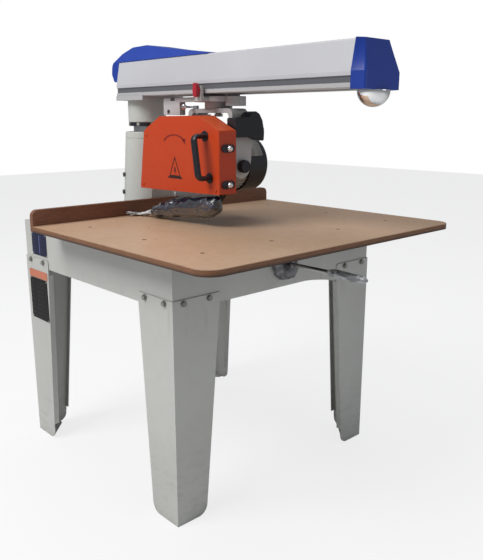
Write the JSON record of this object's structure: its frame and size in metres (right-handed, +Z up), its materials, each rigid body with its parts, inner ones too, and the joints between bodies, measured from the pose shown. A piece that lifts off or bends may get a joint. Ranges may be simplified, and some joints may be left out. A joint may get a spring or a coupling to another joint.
{
  "type": "radial arm saw",
  "caption": "Radial arm saw on a sheet-metal stand: a circular saw head travels along, swings with and tilts under an overhead arm above a wooden table with fence.",
  "frame": {"origin": "centre of the overall bounding box's bottom face, at floor level", "axes": "+Z up, +Y from the operator towards the column, +X to the motor side"},
  "size_m": [1.084, 1.2631, 1.4458],
  "materials": {
    "painted_light": "satin stove enamel, light grey",
    "painted_arm": "satin stove enamel, pale grey",
    "painted_orange": "satin orange enamel",
    "painted_motor": "taupe grey enamel",
    "painted_red": "moulded red",
    "board": "sealed particle board",
    "fence_board": "dark brown board",
    "steel": "ground steel",
    "zinc": "zinc plated",
    "cast": "machined casting",
    "chrome": "polished",
    "brass": "turned bronze",
    "blue_plastic": "moulded blue",
    "black_plastic": "moulded black",
    "grip": "moulded pale grey",
    "green_plastic": "moulded green",
    "black_metal": "black enamel",
    "copper": "copper windings on laminated steel"
  },
  "bodies": {
    "stand": {"stand_frame": "painted_light", "leg_front_left": "painted_light", "leg_front_right": "painted_light", "leg_rear_left": "painted_light", "leg_rear_right": "painted_light", "leg_bolts": "zinc", "table_bearers": "black_metal", "table_top": "board", "wood_screws": "zinc", "fence": "fence_board", "column_base": "painted_light", "column_bolts": "zinc", "column_key": "steel", "thrust_bearing": "steel", "crank_bearing_front": "cast", "crank_bearing_rear": "cast"},
    "crank": {"crank_shaft": "steel", "crank_pinion": "steel", "crank_handle": "grip"},
    "screw": {"lift_screw": "steel", "screw_gear": "steel"},
    "column": {"column_post": "steel", "lift_nut": "brass", "column_collar": "black_metal"},
    "arm": {"turret": "painted_light", "arm_beam": "painted_arm", "arm_rails": "steel", "arm_front_cap": "blue_plastic", "arm_rear_cover": "blue_plastic"},
    "arm_knob": {"arm_lock_knob": "chrome"},
    "carriage": {"carriage_body": "painted_light", "roller_axles": "steel", "swivel_pin": "steel"},
    "roller_fl": {"roller_front_left": "steel"},
    "roller_fr": {"roller_front_right": "steel"},
    "roller_rl": {"roller_rear_left": "steel"},
    "roller_rr": {"roller_rear_right": "steel"},
    "carriage_knob": {"carriage_lock_knob": "painted_red"},
    "yoke": {"yoke": "painted_light", "switch_box": "black_plastic"},
    "swivel_lever": {"swivel_lock_lever": "chrome"},
    "start": {"start_button": "green_plastic"},
    "stop": {"stop_button": "painted_red"},
    "motor": {"motor_body": "painted_motor", "motor_stator": "copper", "motor_bearings": "steel", "motor_end_bell": "painted_motor", "motor_fan_cowl": "black_metal", "bevel_pins": "steel", "blade_guard": "painted_orange", "guard_handle": "black_plastic", "guard_knobs": "chrome"},
    "bevel_knob": {"bevel_lock_knob": "black_plastic"},
    "arbor": {"motor_shaft": "steel", "motor_rotor": "steel", "motor_fan": "black_plastic", "blade_flanges": "steel", "saw_blade": "steel", "arbor_nut": "zinc"},
    "guard_lower": {"lower_guard": "zinc"}
  },
  "joints": [
    {"name": "crank_turn", "type": "hinge", "parent": "stand", "child": "crank", "pos_m": [0, -0.2795, 0.748], "axis": [0, 1, 0], "range_deg": [-1340, 3610]},
    {"name": "screw_turn", "type": "hinge", "parent": "stand", "child": "screw", "pos_m": [0, 0.451, 0.9], "axis": [0, 0, 1], "range_deg": [-3700, 3700]},
    {"name": "column_lift", "type": "slide", "parent": "stand", "child": "column", "axis": [0, 0, 1], "range_m": [-0.037, 0.1]},
    {"name": "arm_swing", "type": "hinge", "parent": "column", "child": "arm", "pos_m": [0, 0.451, 1.2], "axis": [0, 0, -1], "range_deg": [-45, 45]},
    {"name": "arm_lock_turn", "type": "hinge", "parent": "arm", "child": "arm_knob", "pos_m": [0, -0.5875, 1.25], "axis": [0, 0, 1], "range_deg": [-90, 90]},
    {"name": "carriage_slide", "type": "slide", "parent": "arm", "child": "carriage", "axis": [0, -1, 0], "range_m": [-0.07, 0.46]},
    {"name": "roller_front_left_spin", "type": "hinge", "parent": "carriage", "child": "roller_fl", "pos_m": [-0.03595, -0.024, 1.3], "axis": [0, 0, 1], "range_deg": [-1200, 1200]},
    {"name": "roller_front_right_spin", "type": "hinge", "parent": "carriage", "child": "roller_fr", "pos_m": [0.03595, -0.024, 1.3], "axis": [0, 0, 1], "range_deg": [-1200, 1200]},
    {"name": "roller_rear_left_spin", "type": "hinge", "parent": "carriage", "child": "roller_rl", "pos_m": [-0.03595, 0.1, 1.3], "axis": [0, 0, 1], "range_deg": [-1200, 1200]},
    {"name": "roller_rear_right_spin", "type": "hinge", "parent": "carriage", "child": "roller_rr", "pos_m": [0.03595, 0.1, 1.3], "axis": [0, 0, 1], "range_deg": [-1200, 1200]},
    {"name": "carriage_lock_turn", "type": "hinge", "parent": "carriage", "child": "carriage_knob", "pos_m": [-0.111, 0.0135, 1.28], "axis": [1, 0, 0], "range_deg": [0, 90]},
    {"name": "yoke_swivel", "type": "hinge", "parent": "carriage", "child": "yoke", "pos_m": [0, 0.038, 1.22], "axis": [0, 0, -1], "range_deg": [-90, 90]},
    {"name": "swivel_lever_turn", "type": "hinge", "parent": "yoke", "child": "swivel_lever", "pos_m": [-0.022, 0.13, 1.225], "axis": [0, 0, 1], "range_deg": [-25, 20]},
    {"name": "start_press", "type": "slide", "parent": "yoke", "child": "start", "axis": [-1, 0, 0], "range_m": [0, 0.003]},
    {"name": "stop_press", "type": "slide", "parent": "yoke", "child": "stop", "axis": [-1, 0, 0], "range_m": [0, 0.004]},
    {"name": "bevel_tilt", "type": "hinge", "parent": "yoke", "child": "motor", "pos_m": [0, 0.038, 1.04], "axis": [0, -1, 0], "range_deg": [0, 45]},
    {"name": "bevel_knob_turn", "type": "hinge", "parent": "motor", "child": "bevel_knob", "pos_m": [0, -0.082, 1.04], "axis": [0, 1, 0], "range_deg": [-60, 60]},
    {"name": "blade_spin", "type": "hinge", "parent": "motor", "child": "arbor", "pos_m": [0, 0.038, 1.04], "axis": [1, 0, 0], "continuous": true},
    {"name": "lower_guard_swing", "type": "hinge", "parent": "motor", "child": "guard_lower", "pos_m": [-0.0795, 0.038, 1.04], "axis": [1, 0, 0], "range_deg": [-40, 40]}
  ],
  "couplings": [
    {"joint": "screw_turn", "follows": "column_lift", "rad_per_m": 628.32},
    {"joint": "crank_turn", "follows": "column_lift", "rad_per_m": 628.32},
    {"joint": "roller_front_left_spin", "follows": "carriage_slide", "rad_per_m": -43.478},
    {"joint": "roller_front_right_spin", "follows": "carriage_slide", "rad_per_m": 43.478},
    {"joint": "roller_rear_left_spin", "follows": "carriage_slide", "rad_per_m": -43.478},
    {"joint": "roller_rear_right_spin", "follows": "carriage_slide", "rad_per_m": 43.478}
  ]
}
